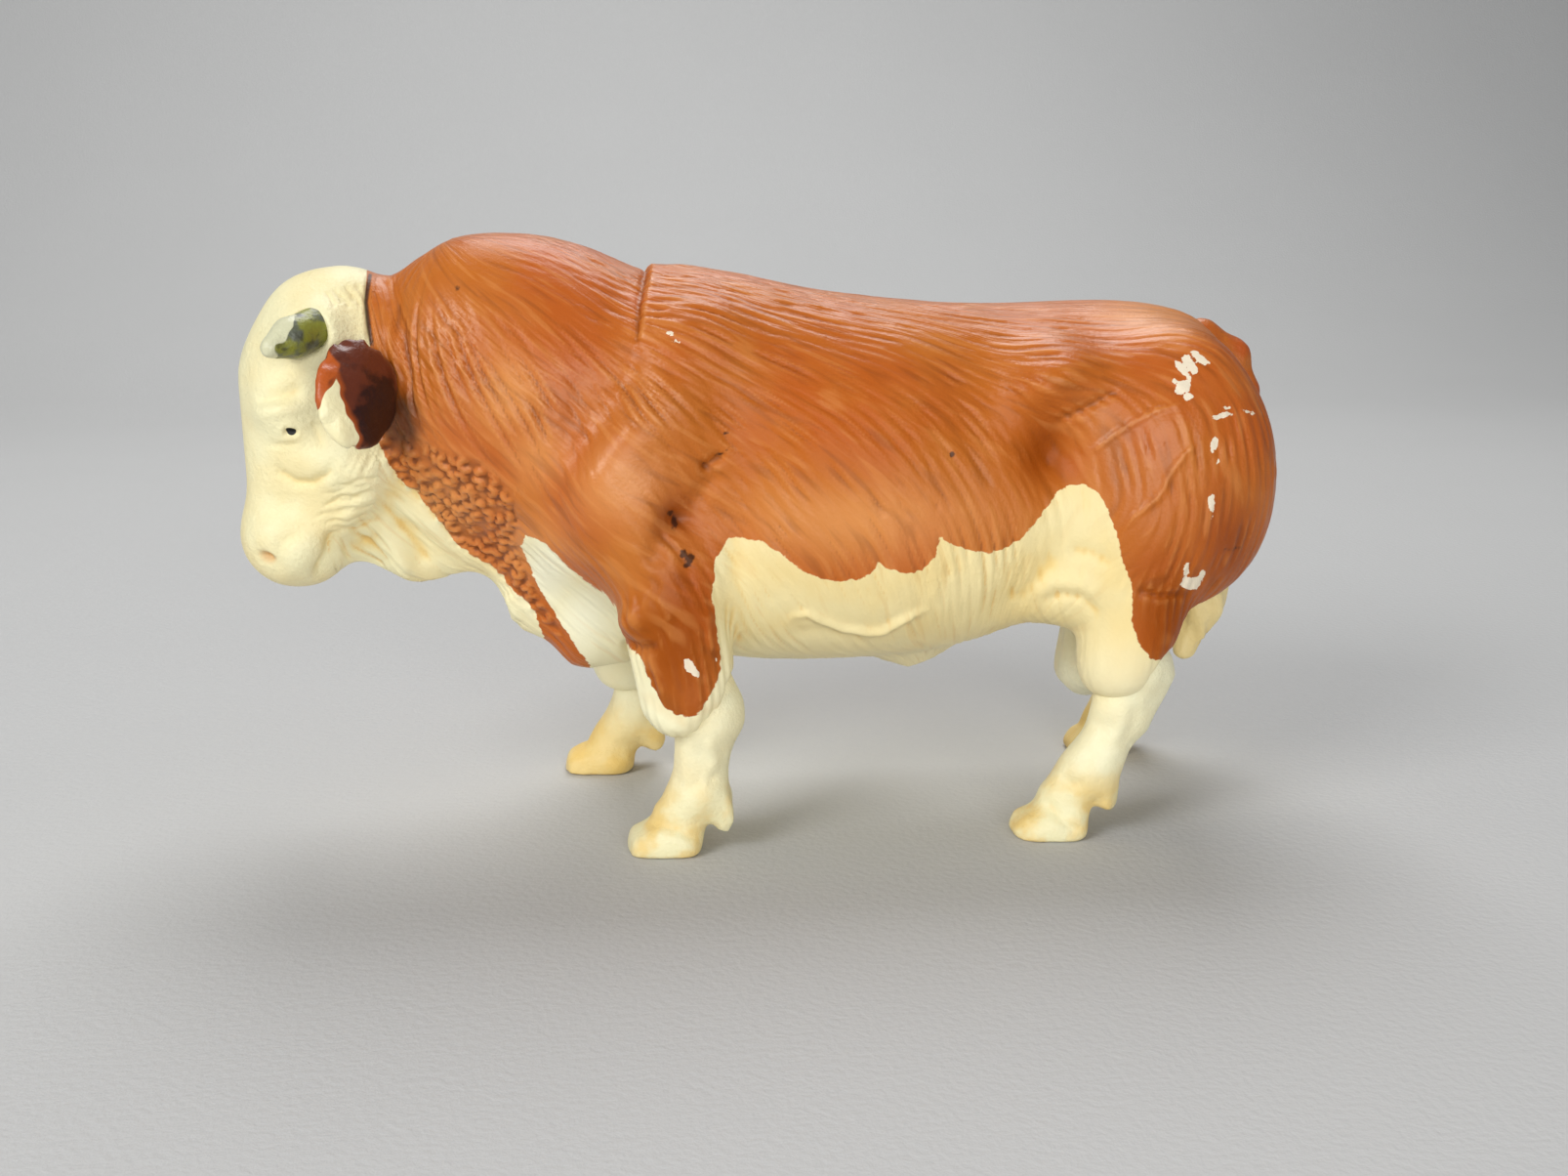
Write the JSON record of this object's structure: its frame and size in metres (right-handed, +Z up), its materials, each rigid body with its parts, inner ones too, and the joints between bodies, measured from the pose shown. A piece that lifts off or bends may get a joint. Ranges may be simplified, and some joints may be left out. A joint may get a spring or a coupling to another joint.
{
  "type": "bull figurine",
  "caption": "Standing bull figurine in moulded plastic, chestnut coat with cream head, belly and legs, plugged together from separate mouldings and resting on flat hooves",
  "frame": {"origin": "ground level under the middle of the bounding box", "axes": "+X from head to tail, +Y to the bull's right side, +Z up; the bull faces -X"},
  "size_m": [0.141, 0.0473, 0.0798],
  "materials": {
    "body_paint": "satin chestnut paint over cream plastic",
    "neck_paint": "satin chestnut paint with dark curls",
    "head_paint": "satin cream",
    "horn_paint": "satin olive grey with pale tip",
    "ear_paint": "satin dark brown with cream inside",
    "leg_paint": "satin cream stained yellow in the hollows",
    "tail_paint": "satin chestnut with cream switch",
    "scrotum_paint": "satin peach"
  },
  "bodies": {
    "root": {"body": "body_paint", "neck": "neck_paint", "head": "head_paint", "left_horn": "horn_paint", "right_horn": "horn_paint", "left_ear": "ear_paint", "right_ear": "ear_paint", "left_foreleg": "leg_paint", "right_foreleg": "leg_paint", "left_hind_leg": "leg_paint", "right_hind_leg": "leg_paint", "tail": "tail_paint", "scrotum": "scrotum_paint"}
  },
  "joints": []
}
